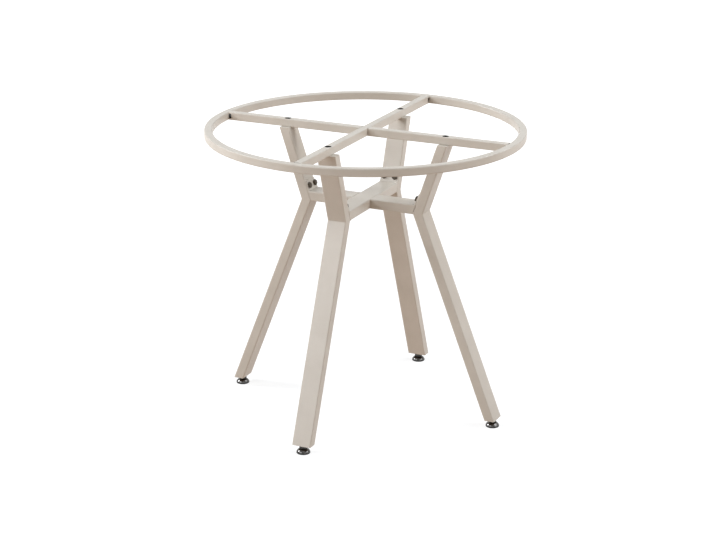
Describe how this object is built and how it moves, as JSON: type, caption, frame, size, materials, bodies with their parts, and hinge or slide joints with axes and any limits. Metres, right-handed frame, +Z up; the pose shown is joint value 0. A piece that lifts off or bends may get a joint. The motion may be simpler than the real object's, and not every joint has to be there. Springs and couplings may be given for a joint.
{
  "type": "table frame",
  "caption": "Round table base: a tube ring with a cross of arms on bent, braced tube legs with levelling feet",
  "frame": {"origin": "centre of the four feet on the floor, under the centre of the ring", "axes": "+Z up; +X along the right arm of the cross, +Y along the back arm"},
  "size_m": [0.8, 0.8, 0.738],
  "materials": {
    "powder_coat": "pale beige powder coat, fine matt texture",
    "black_fastener": "black oxide, satin",
    "plain_zinc": "zinc plated, hidden inside the tubes",
    "polished_cup": "polished pressed steel, black nickel plated",
    "dark_stem": "dark plated threaded steel",
    "black_pad": "matt moulded"
  },
  "bodies": {
    "frame": {"top_ring": "powder_coat", "arm_front_to_back": "powder_coat", "arm_left": "powder_coat", "arm_right": "powder_coat", "brace_front_to_back": "powder_coat", "brace_left": "powder_coat", "brace_right": "powder_coat", "upper_leg_right": "powder_coat", "upper_leg_back": "powder_coat", "upper_leg_left": "powder_coat", "upper_leg_front": "powder_coat", "lower_leg_right": "powder_coat", "lower_leg_back": "powder_coat", "lower_leg_left": "powder_coat", "lower_leg_front": "powder_coat", "leg_top_plate_right": "powder_coat", "leg_top_plate_back": "powder_coat", "leg_top_plate_left": "powder_coat", "leg_top_plate_front": "powder_coat", "leg_foot_plate_right": "powder_coat", "leg_foot_plate_back": "powder_coat", "leg_foot_plate_left": "powder_coat", "leg_foot_plate_front": "powder_coat", "end_plate_right": "powder_coat", "end_plate_back": "powder_coat", "end_plate_left": "powder_coat", "end_plate_front": "powder_coat", "brace_bolts_right": "black_fastener", "brace_bolts_back": "black_fastener", "brace_bolts_left": "black_fastener", "brace_bolts_front": "black_fastener", "top_bolt_right": "black_fastener", "top_bolt_back": "black_fastener", "top_bolt_left": "black_fastener", "top_bolt_front": "black_fastener", "leg_top_nut_right": "plain_zinc", "leg_top_nut_back": "plain_zinc", "leg_top_nut_left": "plain_zinc", "leg_top_nut_front": "plain_zinc", "leg_foot_nut_right": "plain_zinc", "leg_foot_nut_back": "plain_zinc", "leg_foot_nut_left": "plain_zinc", "leg_foot_nut_front": "plain_zinc", "rivet_nuts_right": "plain_zinc", "rivet_nuts_back": "plain_zinc", "rivet_nuts_left": "plain_zinc", "rivet_nuts_front": "plain_zinc"},
    "foot_right": {"foot_cup_right": "polished_cup", "foot_pad_right": "black_pad"},
    "foot_back": {"foot_cup_back": "polished_cup", "foot_pad_back": "black_pad"},
    "foot_left": {"foot_cup_left": "polished_cup", "foot_pad_left": "black_pad"},
    "foot_front": {"foot_cup_front": "polished_cup", "foot_pad_front": "black_pad"},
    "stem_right": {"foot_stem_right": "dark_stem"},
    "stem_back": {"foot_stem_back": "dark_stem"},
    "stem_left": {"foot_stem_left": "dark_stem"},
    "stem_front": {"foot_stem_front": "dark_stem"}
  },
  "joints": [
    {"name": "foot_right_travel", "type": "slide", "parent": "frame", "child": "foot_right", "axis": [0, 0, 1], "range_m": [-0.008, 0]},
    {"name": "stem_right_turn", "type": "hinge", "parent": "foot_right", "child": "stem_right", "pos_m": [0.356, 0, 0.016], "axis": [0, 0, 1], "range_deg": [-2310, 0]},
    {"name": "foot_back_travel", "type": "slide", "parent": "frame", "child": "foot_back", "axis": [0, 0, 1], "range_m": [-0.008, 0]},
    {"name": "stem_back_turn", "type": "hinge", "parent": "foot_back", "child": "stem_back", "pos_m": [0, 0.356, 0.016], "axis": [0, 0, 1], "range_deg": [-2310, 0]},
    {"name": "foot_left_travel", "type": "slide", "parent": "frame", "child": "foot_left", "axis": [0, 0, 1], "range_m": [-0.008, 0]},
    {"name": "stem_left_turn", "type": "hinge", "parent": "foot_left", "child": "stem_left", "pos_m": [-0.356, 0, 0.016], "axis": [0, 0, 1], "range_deg": [-2310, 0]},
    {"name": "foot_front_travel", "type": "slide", "parent": "frame", "child": "foot_front", "axis": [0, 0, 1], "range_m": [-0.008, 0]},
    {"name": "stem_front_turn", "type": "hinge", "parent": "foot_front", "child": "stem_front", "pos_m": [0, -0.356, 0.016], "axis": [0, 0, 1], "range_deg": [-2310, 0]}
  ],
  "couplings": [
    {"joint": "stem_right_turn", "follows": "foot_right_travel", "rad_per_m": 5026.5},
    {"joint": "stem_back_turn", "follows": "foot_back_travel", "rad_per_m": 5026.5},
    {"joint": "stem_left_turn", "follows": "foot_left_travel", "rad_per_m": 5026.5},
    {"joint": "stem_front_turn", "follows": "foot_front_travel", "rad_per_m": 5026.5}
  ]
}
